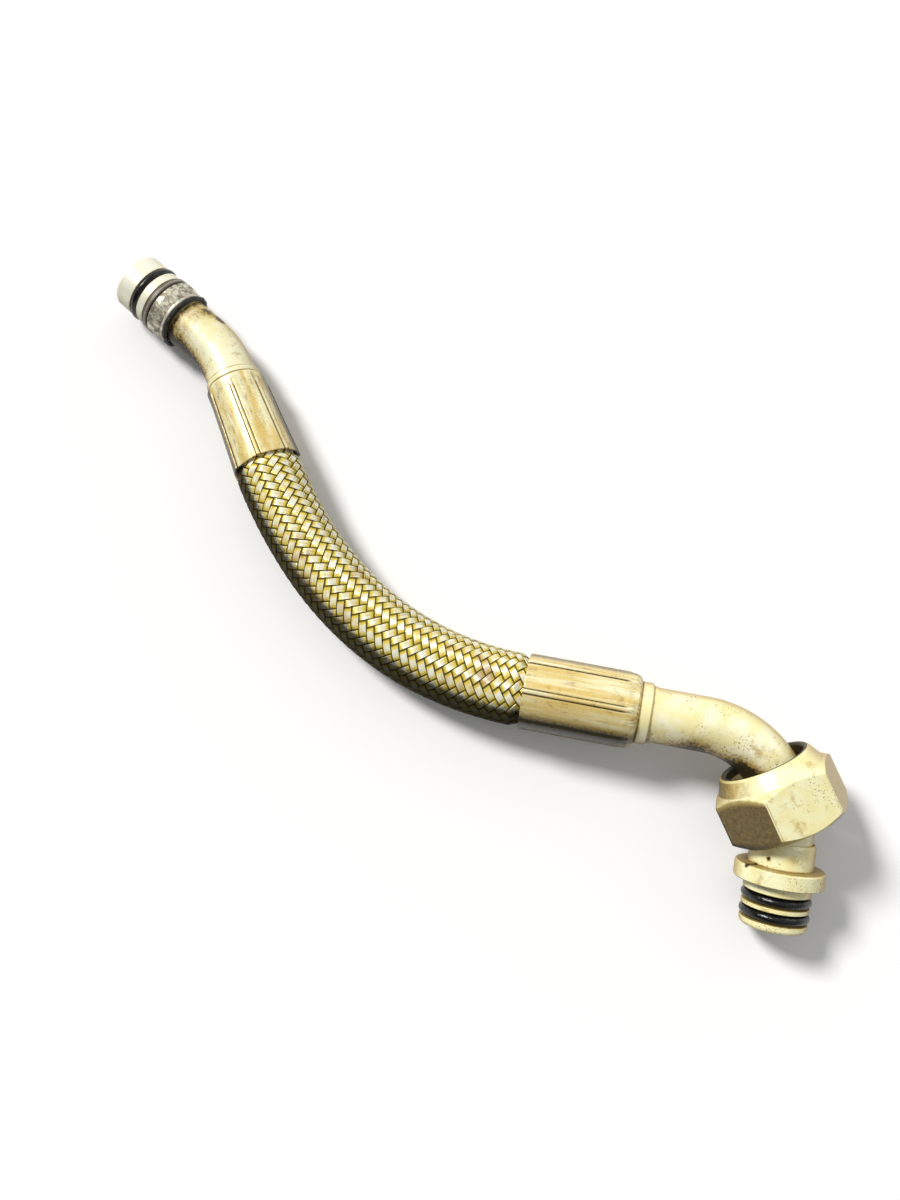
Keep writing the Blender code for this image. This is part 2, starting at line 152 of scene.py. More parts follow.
def plus(tree, a, b):
    return calc(tree, "ADD", a, b)


def times(tree, a, b):
    return calc(tree, "MULTIPLY", a, b)


def sway(tree, value, size):  # how far a noise is from its middle
    return times(tree, calc(tree, "SUBTRACT", value, 0.5), size)


def ramp(tree, value, low, high, toLow=0.0, toHigh=1.0):
    ends = {0: value, 1: low, 2: high, 3: toLow, 4: toHigh}
    return addNode(tree, "ShaderNodeMapRange", ends, interpolation_type="SMOOTHSTEP").outputs[0]


def layer(tree, amount, under, over, blend="MIX"):
    made = addNode(tree, "ShaderNodeMix", {0: amount, 6: under, 7: over}, data_type="RGBA", blend_type=blend)
    return made.outputs[2]


def cloud(tree, coords, scale, detail=3.0, roughness=0.55, distortion=0.0):
    sizes = {"Vector": coords, "Scale": scale, "Detail": detail, "Roughness": roughness, "Distortion": distortion}
    return addNode(tree, "ShaderNodeTexNoise", sizes).outputs[0]


def axisCoords(tree, place, stretch=(1.0, 1.0, 1.0)):  # millimetres in the piece's own axis frame
    coords = addNode(tree, "ShaderNodeTexCoord").outputs["Object"]
    back = place.inverted()
    turned = addNode(tree, "ShaderNodeMapping", {"Vector": coords, "Location": back.translation,
                                                 "Rotation": back.to_euler()})
    scaled = addNode(tree, "ShaderNodeMapping", {"Vector": turned.outputs[0], "Scale": [v * 1000.0 for v in stretch]})
    return scaled.outputs[0]


def onPiece(tree, name):  # a value stored on the piece's points
    return addNode(tree, "ShaderNodeAttribute", attribute_name=name).outputs["Fac"]


def edgeOn(tree):  # 1 where a surface is seen edge on
    return addNode(tree, "ShaderNodeLayerWeight", {"Blend": 0.5}).outputs["Facing"]


def addRelief(tree, shader, height, strength, depth):
    bump = addNode(tree, "ShaderNodeBump", {"Strength": strength, "Distance": depth, "Height": height})
    tree.links.new(bump.outputs[0], shader.inputs["Normal"])


def newFinish(name):
    made = bpy.data.materials.new(name)
    made.use_nodes = True
    tree = made.node_tree
    return made, tree, tree.nodes["Principled BSDF"]


here = Matrix.Identity(4)

platingLook = {
    "cream": (0.95, 0.86, 0.44), "pale": (0.99, 0.96, 0.68), "stainAndShade": (0.52, 0.34, 0.06), "speck": (0.28, 0.16, 0.02),
    "soilAndShade": (0.032, 0.022, 0.007), "metallic": 0.12, "roughness": (0.30, 0.50), "speckLevel": 0.61, "stainLevel": 0.60,
    "edge": 0.95, "mottle": 0.9,
}


def platingFinish(name, look, speckMore=0.0):
    made, tree, shader = newFinish(name)
    coords = axisCoords(tree, here)
    body = ramp(tree, cloud(tree, coords, 0.16, 4.0), 0.35, 0.65)
    colour = layer(tree, body, (*look["cream"], 1), (*look["pale"], 1))
    level = look["stainLevel"]
    stainAndShade = ramp(tree, cloud(tree, coords, 0.22, 5.0, 0.6, 0.4), level - 0.04, level + 0.14, 0.0, 0.7)
    # the value on the points holds dirt and painted shade
    grimeAndShade = onPiece(tree, "grimeAndShade")
    soakedAndShaded = plus(tree, grimeAndShade, times(tree, cloud(tree, coords, 0.7, 3.0), 0.4))
    stainAndShade = calc(tree, "MAXIMUM", stainAndShade, ramp(tree, soakedAndShaded, 0.28, 0.80, 0.0, 0.92))
    # painted shade: the stain colour comes in where the surface is seen edge on
    stainAndShade = calc(tree, "MAXIMUM", stainAndShade, ramp(tree, edgeOn(tree), 0.30, 0.90, 0.0, look["edge"]))
    colour = layer(tree, stainAndShade, colour, (*look["stainAndShade"], 1))
    zone = ramp(tree, plus(tree, cloud(tree, coords, 0.19, 2.0), times(tree, grimeAndShade, 0.3)), 0.47, 0.68)
    level = look["speckLevel"] - speckMore
    dots = ramp(tree, cloud(tree, coords, 1.8, 5.0, 0.68, 0.5), level, level + 0.06)
    speck = times(tree, zone, dots)
    colour = layer(tree, times(tree, speck, 0.85), colour, (*look["speck"], 1))
    blot = plus(tree, times(tree, grimeAndShade, 1.25), sway(tree, cloud(tree, coords, 1.1, 4.0, 0.65), look["mottle"]))
    dirtAndShade = ramp(tree, blot, 0.42, 0.98)
    colour = layer(tree, dirtAndShade, colour, (*look["soilAndShade"], 1))
    tree.links.new(colour, shader.inputs["Base Color"])
    shader.inputs["Metallic"].default_value = look["metallic"]
    fine = cloud(tree, coords, 3.2, 4.0, 0.6)
    dull = plus(tree, times(tree, dirtAndShade, 0.6), plus(tree, speck, times(tree, fine, 0.6)))
    rough = ramp(tree, dull, 0.0, 1.2, *look["roughness"])
    tree.links.new(rough, shader.inputs["Roughness"])
    addRelief(tree, shader, calc(tree, "SUBTRACT", times(tree, fine, 0.5), times(tree, speck, 0.8)), 0.2, 0.0001)
    return made


ferruleLook = {
    "tan": (0.84, 0.62, 0.20), "pale": (1.0, 0.96, 0.62), "brown": (0.20, 0.10, 0.016), "soilAndShade": (0.026, 0.021, 0.008),
    "metallic": 0.28, "roughness": (0.24, 0.42), "edge": 0.85,
}


def ferruleFinish(name, look, place, streak):
    made, tree, shader = newFinish(name)
    long = axisCoords(tree, place, (1.0, 1.0, streak))
    even = axisCoords(tree, place)
    bands = cloud(tree, long, 0.5, 4.0, 0.6)
    colour = layer(tree, ramp(tree, bands, 0.34, 0.66), (*look["tan"], 1), (*look["pale"], 1))
    patches = cloud(tree, even, 0.28, 4.0, 0.6, 0.3)
    streaks = cloud(tree, long, 1.5, 4.0, 0.6)
    rust = times(tree, ramp(tree, patches, 0.46, 0.66), ramp(tree, streaks, 0.40, 0.68))
    colour = layer(tree, times(tree, rust, 0.7), colour, (*look["brown"], 1))
    grimeAndShade = onPiece(tree, "grimeAndShade")
    # painted shade: darker brown where the surface is seen edge on and where the points carry shade and grime
    rim = ramp(tree, edgeOn(tree), 0.45, 0.95, 0.0, look["edge"])
    shadeAndGrime = calc(tree, "MAXIMUM", ramp(tree, grimeAndShade, 0.08, 0.50, 0.0, 0.85), rim)
    colour = layer(tree, shadeAndGrime, colour, layer(tree, 0.45, (*look["tan"], 1), (*look["brown"], 1)))
    mottle = cloud(tree, even, 1.7, 5.0, 0.7)
    dirtAndShade = ramp(tree, plus(tree, times(tree, grimeAndShade, 1.2), sway(tree, mottle, 0.9)), 0.28, 0.95)
    colour = layer(tree, dirtAndShade, colour, (*look["soilAndShade"], 1))
    tree.links.new(colour, shader.inputs["Base Color"])
    shader.inputs["Metallic"].default_value = look["metallic"]
    rough = ramp(tree, plus(tree, mottle, times(tree, rust, 0.5)), 0.25, 0.95, *look["roughness"])
    tree.links.new(rough, shader.inputs["Roughness"])
    brushed = plus(tree, times(tree, cloud(tree, long, 2.6, 3.0), 0.6), times(tree, mottle, 0.4))
    addRelief(tree, shader, brushed, 0.35, 0.00008)
    return made


braidLook = {
    "wire": (1.0, 1.0, 0.82), "gold": (0.90, 0.70, 0.10), "rose": (0.52, 0.30, 0.14), "soilAndShade": (0.012, 0.009, 0.003),
    "metallic": 0.12, "roughness": 0.22, "coat": 0.8, "coatRoughness": 0.14,
}


def braidFinish(name, look):
    made, tree, shader = newFinish(name)
    coords = axisCoords(tree, here)
    tone = onPiece(tree, "tone")
    lift = onPiece(tree, "lift")
    grimeAndShade = onPiece(tree, "grimeAndShade")
    # each float's crest stays near-white as a painted highlight; gold comes in with the tone and down its sides
    giltAwayFromHighlight = plus(tree, times(tree, tone, 0.3), cloud(tree, coords, 0.35, 3.0))
    giltAwayFromHighlight = calc(tree, "ADD", ramp(tree, giltAwayFromHighlight, 0.5, 0.95, 0.0, 0.8), ramp(tree, lift, 0.95, 0.78), clamp=True)
    colour = layer(tree, giltAwayFromHighlight, (*look["wire"], 1), (*look["gold"], 1))
    colour = layer(tree, ramp(tree, cloud(tree, coords, 0.13, 2.0), 0.56, 0.74, 0.0, 0.6), colour, (*look["rose"], 1))
    # painted shade where the wires dive under the next bundle
    low = ramp(tree, lift, 0.74, 0.54, 0.0, 0.98)
    colour = layer(tree, low, colour, layer(tree, 0.88, (*look["gold"], 1), (*look["soilAndShade"], 1)))
    # the darker flanks are painted shade, broken up by a dirt mottle
    blot = plus(tree, grimeAndShade, sway(tree, cloud(tree, coords, 0.9, 4.0, 0.65), 0.7))
    dirtAndShade = ramp(tree, blot, 0.25, 0.85, 0.0, 0.93)
    colour = layer(tree, dirtAndShade, colour, (*look["soilAndShade"], 1))
    tree.links.new(colour, shader.inputs["Base Color"])
    shader.inputs["Metallic"].default_value = look["metallic"]
    dull = calc(tree, "MAXIMUM", dirtAndShade, low)
    tree.links.new(ramp(tree, dull, 0.1, 0.9, look["roughness"], 0.8), shader.inputs["Roughness"])
    tree.links.new(ramp(tree, dull, 0.1, 0.9, 0.5, 0.1), shader.inputs["Specular IOR Level"])
    tree.links.new(ramp(tree, dull, 0.1, 0.7, look["coat"], 0.0), shader.inputs["Coat Weight"])
    shader.inputs["Coat Roughness"].default_value = look["coatRoughness"]
    return made


wornLook = {
    "dark": (0.20, 0.18, 0.13), "light": (0.86, 0.82, 0.64), "rust": (0.24, 0.14, 0.05),
    "litBareRim": (0.80, 0.78, 0.68), "soilAndShade": (0.02, 0.017, 0.012), "metallic": 0.45,
}


def wornFinish(name, look):
    made, tree, shader = newFinish(name)
    coords = axisCoords(tree, here)
    mottle = cloud(tree, coords, 0.55, 5.0, 0.66, 0.6)
    colour = layer(tree, ramp(tree, mottle, 0.38, 0.62), (*look["dark"], 1), (*look["light"], 1))
    rust = ramp(tree, cloud(tree, coords, 0.45, 4.0), 0.54, 0.70, 0.0, 0.7)
    colour = layer(tree, rust, colour, (*look["rust"], 1))
    # worn bare rim with a painted highlight, from the points
    litBareRim = onPiece(tree, "litBareRim")
    colour = layer(tree, litBareRim, colour, (*look["litBareRim"], 1))
    blot = plus(tree, onPiece(tree, "grimeAndShade"), times(tree, cloud(tree, coords, 1.4, 4.0), 0.3))
    dirtAndShade = ramp(tree, blot, 0.35, 0.95)
    colour = layer(tree, dirtAndShade, colour, (*look["soilAndShade"], 1))
    tree.links.new(colour, shader.inputs["Base Color"])
    shader.inputs["Metallic"].default_value = look["metallic"]
    tree.links.new(ramp(tree, mottle, 0.3, 0.7, 0.55, 0.36), shader.inputs["Roughness"])
    addRelief(tree, shader, mottle, 0.5, 0.00012)
    return made


rubberLook = {"black": (0.003, 0.003, 0.003), "dustAndGlint": (0.24, 0.23, 0.10), "roughness": (0.12, 0.34)}


def rubberFinish(name, look, dustAndGlintAmount):
    made, tree, shader = newFinish(name)
    coords = axisCoords(tree, here)
    level = 0.62 - dustAndGlintAmount * 0.1
    # yellow specks of dust, which also stand in for the glints on the seals
    marks = ramp(tree, cloud(tree, coords, 1.9, 5.0, 0.7, 0.8), level, level + 0.10, 0.0, 0.8)
    colour = layer(tree, times(tree, marks, dustAndGlintAmount), (*look["black"], 1), (*look["dustAndGlint"], 1))
    tree.links.new(colour, shader.inputs["Base Color"])
    wet = cloud(tree, coords, 0.8, 4.0, 0.65)
    tree.links.new(ramp(tree, wet, 0.35, 0.75, *look["roughness"]), shader.inputs["Roughness"])
    addRelief(tree, shader, cloud(tree, coords, 1.3, 4.0, 0.65), 0.7, 0.00016)
    return made


ringLook = {
    "brown": (0.12, 0.10, 0.075), "stripe": (0.30, 0.27, 0.21), "spots": (0.05, 0.04, 0.03), "roughness": 0.42,
    "middle": 12.65,
}


def ringFinish(name, look, place):
    made, tree, shader = newFinish(name)
    coords = axisCoords(tree, place)
    height = addNode(tree, "ShaderNodeSeparateXYZ", {0: coords}).outputs["Z"]
    edge = calc(tree, "ABSOLUTE", calc(tree, "SUBTRACT", height, look["middle"]))
    stripe = ramp(tree, plus(tree, edge, sway(tree, cloud(tree, coords, 0.6, 3.0), 0.5)), 0.36, 0.22)
    colour = layer(tree, stripe, (*look["brown"], 1), (*look["stripe"], 1))
    spots = ramp(tree, cloud(tree, coords, 1.6, 4.0), 0.52, 0.72, 0.0, 0.6)
    colour = layer(tree, spots, colour, (*look["spots"], 1))
    tree.links.new(colour, shader.inputs["Base Color"])
    shader.inputs["Roughness"].default_value = look["roughness"]
    addRelief(tree, shader, cloud(tree, coords, 2.0, 3.0), 0.3, 0.0001)
    return made


tipPlace = standOn(tipPoint, tipAxis)
upperCrimp = standOn(upperMouth, -upperAxis)
lowerCrimp = standOn(lowerMouth, lowerAxis)
outletPlace = standOn(outletPoint, -outletAxis)
nutPlace = standOn(nutRear, nutAxis)

plating = platingFinish("creamPlating", platingLook)
platingDirty = platingFinish("creamPlatingSpecked", {**platingLook, "mottle": 1.6}, 0.05)
noseLook = {**platingLook, "cream": (0.97, 0.95, 0.74), "pale": (1.0, 0.99, 0.86), "edge": 0.3, "stainLevel": 0.66}
nosePlating = platingFinish("nosePlating", noseLook)
nutLook = {**platingLook, "cream": (0.97, 0.88, 0.44), "pale": (1.0, 0.98, 0.62), "mottle": 0.3}
nutPlating = platingFinish("nutPlating", nutLook, 0.05)
upperCrimpSteel = ferruleFinish("upperCrimpSteel", ferruleLook, upperCrimp, 0.16)
lowerCrimpSteel = ferruleFinish("lowerCrimpSteel", ferruleLook, lowerCrimp, 0.07)
braidWire = braidFinish("braidWire", braidLook)
wornSteel = wornFinish("wornSteel", wornLook)
sealRubber = rubberFinish("sealRubber", rubberLook, 0.35)
dustRubber = rubberFinish("dustRubber", {**rubberLook, "roughness": (0.35, 0.7)}, 0.3)
coreLook = {**rubberLook, "black": (0.016, 0.012, 0.004), "roughness": (0.5, 0.8)}
coreRubber = rubberFinish("coreRubber", coreLook, 0.15)
ringPlastic = ringFinish("ringPlastic", ringLook, tipPlace)
print("finishes ready")


def rounded(profile, radius, steps=4):  # closed (station, radius) profile with its corners rounded
    done = []
    count = len(profile)
    for k in range(count):
        before, at, after = (np.array(profile[(k + d) % count][:2], float) for d in (-1, 0, 1))
        a, b = before - at, after - at
        la, lb = np.linalg.norm(a), np.linalg.norm(b)
        a, b = a / la, b / lb
        bend = math.pi - math.acos(max(-1.0, min(1.0, float(a @ b))))
        if bend < math.radians(8):
            done.append(tuple(at))
            continue
        reach = min(radius * math.tan(bend / 2), 0.42 * la, 0.42 * lb)
        start, end = at + a * reach, at + b * reach
        if la > reach * 3:
            done.append(tuple(at + a * reach * 1.25))
        for i in range(steps + 1):
            t = i / steps
            done.append(tuple(start * (1 - t) ** 2 + at * 2 * t * (1 - t) + end * t ** 2))
        if lb > reach * 3:
            done.append(tuple(at + b * reach * 1.25))
    return done


def ringRows(place, profile):
    centre, x, y, z = place.translation, place.col[0].xyz, place.col[1].xyz, place.col[2].xyz
    return [(centre + z * s * mm, x, y, r, s) for s, r in profile]


def wrapped(turns):  # degrees from -180 to 180
    return (turns + 180) % 360 - 180


def between(a, b, t):
    return a[0] + (b[0] - a[0]) * t, a[1] + (b[1] - a[1]) * t


# A closed skin over rings, listed outer side first; it also returns each point's station and turn
def skin(name, rows, sides, look, squeeze=None):
    count = len(rows)
    angles = np.linspace(0, 2 * math.pi, sides, endpoint=False)
    spots, stations, turns = [], [], []
    for centre, x, y, r, s in rows:
        radii = np.full(sides, float(r)) if squeeze is None else squeeze(s, r, angles)
        out = np.cos(angles)[:, None] * np.array(x)[None] + np.sin(angles)[:, None] * np.array(y)[None]
        spots.append(np.array(centre)[None] + out * radii[:, None] * mm)
        stations += [s] * sides
        turns += list(np.degrees(angles))
    faces = []
    for i in range(count):
        row, after = i * sides, (i + 1) % count * sides
        faces += [(row + k, row + (k + 1) % sides, after + (k + 1) % sides, after + k) for k in range(sides)]
    data = bpy.data.meshes.new(name)
    data.from_pydata([tuple(p) for p in np.concatenate(spots)], [], faces)
    work = bmesh.new()
    work.from_mesh(data)
    bmesh.ops.recalc_face_normals(work, faces=work.faces)
    work.to_mesh(data)
    work.free()
    data.shade_smooth()
    data.materials.append(look)
    return addObject(name, data), np.array(stations), np.array(turns)


def mark(piece, name, values):
    made = piece.data.attributes.get(name) or piece.data.attributes.new(name, "FLOAT", "POINT")
    made.data.foreach_set("value", values.astype(np.float32))


shadedSide = Vector((0.07, -0.95, -0.30)).normalized()  # painted shade is laid on the side facing this way, away from the light


# Grime and painted shade as a value on the points: bends are (station, width, strength), dark rings of dirt with
# painted shade in the crease at steps and joints; flanks are (turn, width, strength), painted shade along the sides;
# and patches are (station, turn, size, strength, radius)
def soilAndShade(piece, stations=None, turns=None, every=0.0, shadeFacing=0.0, shadeBelow=0.0, bends=(), patches=(),
         flanks=(), hollow=None, power=1.6):
    data = piece.data
    count = len(data.vertices)
    normals, places = np.zeros(count * 3), np.zeros(count * 3)
    data.vertices.foreach_get("normal", normals)
    data.vertices.foreach_get("co", places)
    normals, places = normals.reshape(-1, 3), places.reshape(-1, 3)
    amount = np.full(count, float(every))
    # painted shade: darker on the side facing away from the light and on faces turned down
    amount += shadeFacing * np.clip(normals @ np.array(shadedSide), 0, 1) ** power
    amount += shadeBelow * np.clip(-normals[:, 2], 0, 1)
    if hollow:  # painted shade inside a bore: place, radius and strength
        place, reach, strength = hollow
        off = places - np.array(place.translation)
        along = off @ np.array(place.col[2].xyz)
        amount += strength * (np.sqrt(np.maximum((off ** 2).sum(1) - along ** 2, 0)) < reach * mm)
    if stations is not None:
        for station, width, strength in bends:
            amount += strength * np.exp(-((stations - station) / width) ** 2)
        for turn, width, strength in flanks:
            amount += strength * np.exp(-(wrapped(turns - turn) / width) ** 2)
        for station, turn, size, strength, radius in patches:
            reach = np.hypot(stations - station, np.radians(wrapped(turns - turn)) * radius)
            amount += strength * np.exp(-(reach / size) ** 2)
    mark(piece, "grimeAndShade", np.clip(amount, 0, 1.2))
    return piece


def settle(piece, body, node):
    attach(piece, body)
    if node:
        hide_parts(node)


def bentRoute(start, along, leg, out, radius, legOut, steps):  # points and directions along leg, bend and leg
    turn = along.angle(out)
    trim = radius * math.tan(turn / 2)
    axis = along.cross(out).normalized()
    begin = start + along * (leg - trim) * mm
    centre = begin + axis.cross(along) * radius * mm
    points = [(start + along * (leg - trim) * mm * k / 14, along) for k in range(14)]
    for k in range(steps + 1):
        spin = Matrix.Rotation(turn * k / steps, 3, axis)
        points.append((centre + spin @ (begin - centre), spin @ along))
    last = points[-1][0]
    points += [(last + out * (legOut - trim) * mm * k / 12, out) for k in range(1, 13)]
    return points


def pipeRows(route, radius, bore, flares=()):
    rows, far = [], 0.0
    for k, (point, along) in enumerate(route):
        if k:
            far += (point - route[k - 1][0]).length / mm
        up = upright(along)
        r = radius + sum(size * math.exp(-((far - at) / width) ** 2) for at, width, size in flares)
        rows.append((point, up, along.cross(up), r, far))
    inside = [(p, x, y, bore, s) for p, x, y, r, s in reversed(rows)]
    return rows + inside


# the pipes carry painted shade on the side away from the light and underneath, besides dirt and dirt patches
upperPipe = {
    "radius": 7.5, "bore": 6.0, "bendRadius": 32.0, "start": 14.2, "shortBy": 28.4, "sides": 80, "bendSteps": 20,
    "dirtAndShade": {"every": 0.05, "shadeFacing": 0.62, "shadeBelow": 0.25, "power": 1.9,
             "bends": [(7.6, 0.9, 0.5), (10.4, 3.6, 0.27), (30.6, 0.3, 0.5)],
             "patches": [(19.0, 95, 5.0, 0.55, 7.5), (12.5, 80, 3.5, 0.4, 7.5), (15.7, -62, 1.7, 0.9, 7.5),
                         (12.2, -50, 2.4, 0.4, 7.5), (25.7, 75, 3.0, 0.25, 7.5)]},
}
lowerPipe = {
    "radius": 7.5, "bore": 6.0, "bendRadius": 25.0, "start": 32.1, "shortBy": 19.4, "sides": 80, "bendSteps": 44,
    "flare": (2.7, 0.5, 0.35),
    "dirtAndShade": {"every": 0.05, "shadeFacing": 0.62, "shadeBelow": 0.2, "power": 2.2,
             "bends": [(2.2, 0.3, 0.45)],
             "patches": [(15.0, 78, 5.0, 0.5, 7.5), (33.0, 98, 6.5, 0.9, 7.5), (38.0, 62, 4.5, 0.6, 7.5)]},
}


def buildPipes():
    s = upperPipe
    route = bentRoute(tipPoint + tipAxis * s["start"] * mm, tipAxis, layout["tipToBend"] - s["start"],
                      upperAxis, s["bendRadius"], layout["bendToUpperMouth"] - s["shortBy"], s["bendSteps"])
    piece, stations, turns = skin("upperBentPipe", pipeRows(route, s["radius"], s["bore"]), s["sides"], platingDirty)
    settle(soilAndShade(piece, stations, turns, **s["dirtAndShade"]), assembly, "upper_pipe")
    s = lowerPipe
    route = bentRoute(lowerMouth + lowerAxis * s["start"] * mm, lowerAxis, layout["lowerMouthToElbow"] - s["start"],
                      outletAxis, s["bendRadius"], layout["elbowToOutlet"] - s["shortBy"], s["bendSteps"])
    piece, stations, turns = skin("lowerElbowPipe", pipeRows(route, s["radius"], s["bore"], [s["flare"]]), s["sides"],
                                  platingDirty)
    settle(soilAndShade(piece, stations, turns, **s["dirtAndShade"]), assembly, "lower_pipe")
    print("pipes bent")


buildPipes()


rowGap = 0.5  # millimetres between the rows of points, close enough to carry the dirt


def closeRows(points, apart):  # rows added where two are further apart than this along the axis
    done = []
    for k, point in enumerate(points):
        after = points[(k + 1) % len(points)]
        count = max(1, round(abs(after[0] - point[0]) / apart))
        done += [between(point, after, i / count) for i in range(count)]
    return done


def turnPiece(name, place, profile, corner, sides, look, node, dirtAndShade=None, body=assembly):
    rows = ringRows(place, closeRows(rounded(profile, corner), rowGap))
    piece, stations, turns = skin(name, rows, sides, look)
    soilAndShade(piece, stations, turns, **(dirtAndShade or {}))
    settle(piece, body, node)
    return piece, stations, turns


# Profiles are (station, radius) in millimetres, counted from the end of the fitting
pushInEnd = {
    "spigot": [(0.0, 7.5), (0.35, 8.2), (1.0, 8.6), (6.2, 8.6), (6.3, 6.7), (8.7, 6.7), (8.8, 8.6), (11.35, 8.6),
               (11.45, 7.3),
               (13.9, 7.3), (13.9, 5.7), (17.2, 5.7), (17.6, 5.4), (17.6, 5.0), (0.9, 5.0), (0.0, 5.8)],
    "sleeve": [(13.8, 8.8), (14.1, 9.1), (15.7, 9.1), (18.7, 8.45), (18.75, 8.7), (19.55, 8.7), (19.75, 8.5),
               (19.75, 7.8), (14.5, 7.8), (13.8, 8.0)],
    "dustSeal": [(20.05, 8.2), (20.2, 8.75), (20.45, 8.9), (20.8, 8.85), (21.05, 8.4), (21.15, 7.8), (20.05, 7.8)],
    "ring": [(11.8, 8.8), (12.0, 9.0), (13.3, 9.0), (13.5, 8.8), (13.5, 7.6), (11.8, 7.6)],
    "seal": {"centre": 7.5, "outer": 9.0, "section": 2.0}, "sides": 112, "ringGap": 9.0,
    "spigotDirtAndShade": {"every": 0.0, "shadeFacing": 0.4, "power": 2.5,
                   "bends": [(11.4, 0.3, 0.3), (6.25, 0.3, 0.35), (8.75, 0.3, 0.35)]},
    "sleeveDirtAndShade": {"shadeFacing": 0.35, "bends": [(13.8, 0.3, 0.5), (18.65, 0.12, 0.7)]},
    "litRim": {"from": 19.1, "strength": 0.6, "turn": 20, "spread": 90},
    "perished": {"over": 8.3, "out": 0.22, "along": 0.3},
}


def sealRing(name, place, spec, node):
    half = spec["section"] / 2
    middle = spec["outer"] - half
    around = np.linspace(0, 2 * math.pi, 20, endpoint=False)
    profile = [(spec["centre"] - half * math.cos(a), middle + half * math.sin(a)) for a in around]
    piece = skin(name, ringRows(place, profile), 112, sealRubber)[0]
    settle(soilAndShade(piece), assembly, node)


def buildPushInEnd():
    s = pushInEnd
    turnPiece("upperSpigotBody", tipPlace, s["spigot"], 0.14, s["sides"], nosePlating, "upper_spigot",
              s["spigotDirtAndShade"])
    sealRing("upperSealRing", tipPlace, s["seal"], "upper_o_ring")
    piece = skin("upperRetainingRing", ringRows(tipPlace, rounded(s["ring"], 0.12)), s["sides"], ringPlastic)[0]
    work = bmesh.new()  # the ring is split underneath
    work.from_mesh(piece.data)
    inverse = tipPlace.inverted()
    gone = []
    for f in work.faces:
        turn = math.degrees(math.atan2(*(inverse @ f.calc_center_median()).yx))
        if abs(abs(turn) - 180) < s["ringGap"]:
            gone.append(f)
    bmesh.ops.delete(work, geom=gone, context="FACES")
    bmesh.ops.holes_fill(work, edges=[e for e in work.edges if e.is_boundary])
    bmesh.ops.recalc_face_normals(work, faces=work.faces)
    work.to_mesh(piece.data)
    work.free()
    settle(soilAndShade(piece), assembly, "upper_retaining_ring")
    piece, stations, turns = turnPiece("upperLockingSleeve", tipPlace, s["sleeve"], 0.12, s["sides"], wornSteel,
                                       "upper_locking_sleeve", s["sleeveDirtAndShade"])
    # the rear rim is worn bare and carries a painted highlight, strongest along the top
    rim = s["litRim"]
    lit = np.clip(1.35 - np.abs(np.abs(wrapped(turns)) - rim["turn"]) / rim["spread"], 0, 1)
    mark(piece, "litBareRim", rim["strength"] * np.clip((stations - rim["from"]) / 0.2, 0, 1) * lit)
    piece = turnPiece("upperDustSeal", tipPlace, s["dustSeal"], 0.2, s["sides"], dustRubber,
                      "upper_dust_seal")[0]
    rough = s["perished"]
    for vert in piece.data.vertices:  # perished rubber, rough at the edge
        out = vert.co - (tipPoint + tipAxis * (vert.co - tipPoint).dot(tipAxis))
        if out.length > rough["over"] * mm:
            bulge = out.normalized() * noise.noise(vert.co * 900) * rough["out"] * mm
            vert.co += bulge + tipAxis * noise.noise(vert.co * 700 + Vector((3, 1, 2))) * rough["along"] * mm
    print("push-in end turned")


buildPushInEnd()

flangedEnd = {
    "spigot": [(0.0, 7.9), (0.4, 8.5), (0.9, 8.8), (2.1, 8.8), (2.2, 6.3), (5.2, 6.3), (5.3, 8.8), (6.4, 8.8),
               (6.5, 6.3), (9.5, 6.3),
               (9.6, 8.8), (12.1, 8.8), (12.1, 11.4), (12.4, 11.7), (16.0, 11.7), (16.4, 11.3), (16.4, 8.5),
               (22.4, 8.5), (23.2, 8.1),
               (23.2, 7.8), (19.0, 7.8), (19.0, 5.2), (0.8, 5.2), (0.0, 5.9)],
    "outer": {"centre": 3.7, "outer": 9.1, "section": 2.5}, "inner": {"centre": 8.0, "outer": 9.1, "section": 2.5},
    "sides": 128,
    "dirtAndShade": {"every": 0.04, "shadeFacing": 0.35, "power": 2.0,
             "bends": [(16.5, 0.25, 0.55), (12.0, 0.2, 0.5), (2.15, 0.15, 0.5), (5.25, 0.15, 0.5), (6.45, 0.15, 0.5),
                       (9.55, 0.15, 0.5)],
             "patches": [(18.9, -38, 0.55, 1.1, 8.5), (16.1, -62, 0.55, 1.1, 11.7), (14.3, 52, 1.1, 0.45, 11.7),
                         (19.6, 4, 1.5, 0.33, 8.5)]},
}


def buildFlangedEnd():
    s = flangedEnd
    turnPiece("lowerSpigotBody", outletPlace, s["spigot"], 0.16, s["sides"], nutPlating, "lower_spigot",
              s["dirtAndShade"])
    sealRing("lowerSealRingOuter", outletPlace, s["outer"], "lower_o_ring_outer")
    sealRing("lowerSealRingInner", outletPlace, s["inner"], "lower_o_ring_inner")
    print("flanged end turned")


buildFlangedEnd()


